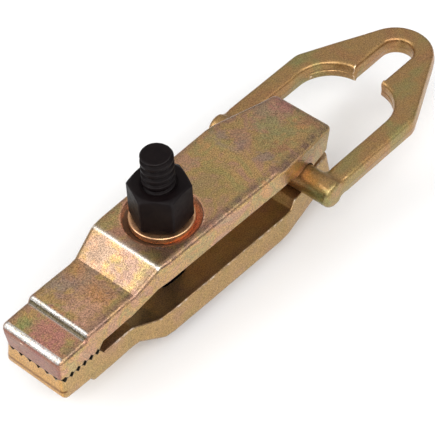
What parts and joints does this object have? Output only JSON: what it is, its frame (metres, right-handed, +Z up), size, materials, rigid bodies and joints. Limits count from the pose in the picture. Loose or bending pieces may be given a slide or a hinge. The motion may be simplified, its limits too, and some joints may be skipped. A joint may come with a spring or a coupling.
{
  "type": "self-tightening pull clamp",
  "caption": "Self-tightening pull clamp: mirrored forged jaws with serrated noses, a clamping bolt and tall nut, and a pull link with a keyhole opening.",
  "frame": {"origin": "centre of the bolt head's underside, on the bolt axis", "axes": "+Z up the bolt towards the nut, +X along the jaws towards the pull link, teeth at -X, +Y across the jaws"},
  "size_m": [0.285, 0.0786, 0.102],
  "materials": {
    "lower_jaw": "yellow zinc plated forging",
    "upper_jaw": "yellow zinc plated forging",
    "pull_link": "yellow zinc plated forging",
    "clamp_bolt": "black oxide",
    "clamp_nut": "black oxide",
    "nut_washer": "yellow zinc plated",
    "head_washer": "yellow zinc plated"
  },
  "bodies": {
    "frame_body": {"lower_jaw": "lower_jaw", "clamp_bolt": "clamp_bolt", "head_washer": "head_washer"},
    "upper_body": {"upper_jaw": "upper_jaw"},
    "link_body": {"pull_link": "pull_link"},
    "washer_body": {"nut_washer": "nut_washer"},
    "nut_body": {"clamp_nut": "clamp_nut"}
  },
  "joints": [
    {"name": "jaw_open", "type": "hinge", "parent": "frame_body", "child": "upper_body", "pos_m": [0.08, 0, 0.03605], "axis": [0, 1, 0], "range_deg": [0, 8]},
    {"name": "link_swing", "type": "hinge", "parent": "frame_body", "child": "link_body", "pos_m": [0.08, 0, 0.03605], "axis": [0, 1, 0], "range_deg": [-100, 100]},
    {"name": "nut_lift", "type": "slide", "parent": "frame_body", "child": "washer_body", "axis": [0, 0, 1], "range_m": [0, 0.0173]},
    {"name": "nut_turn", "type": "hinge", "parent": "washer_body", "child": "nut_body", "pos_m": [0, 0, 0.0729], "axis": [0, 0, 1], "range_deg": [0, 1550]}
  ],
  "couplings": [
    {"joint": "nut_lift", "follows": "jaw_open", "m_per_rad": 0.123},
    {"joint": "nut_turn", "follows": "jaw_open", "ratio": 193.21}
  ]
}
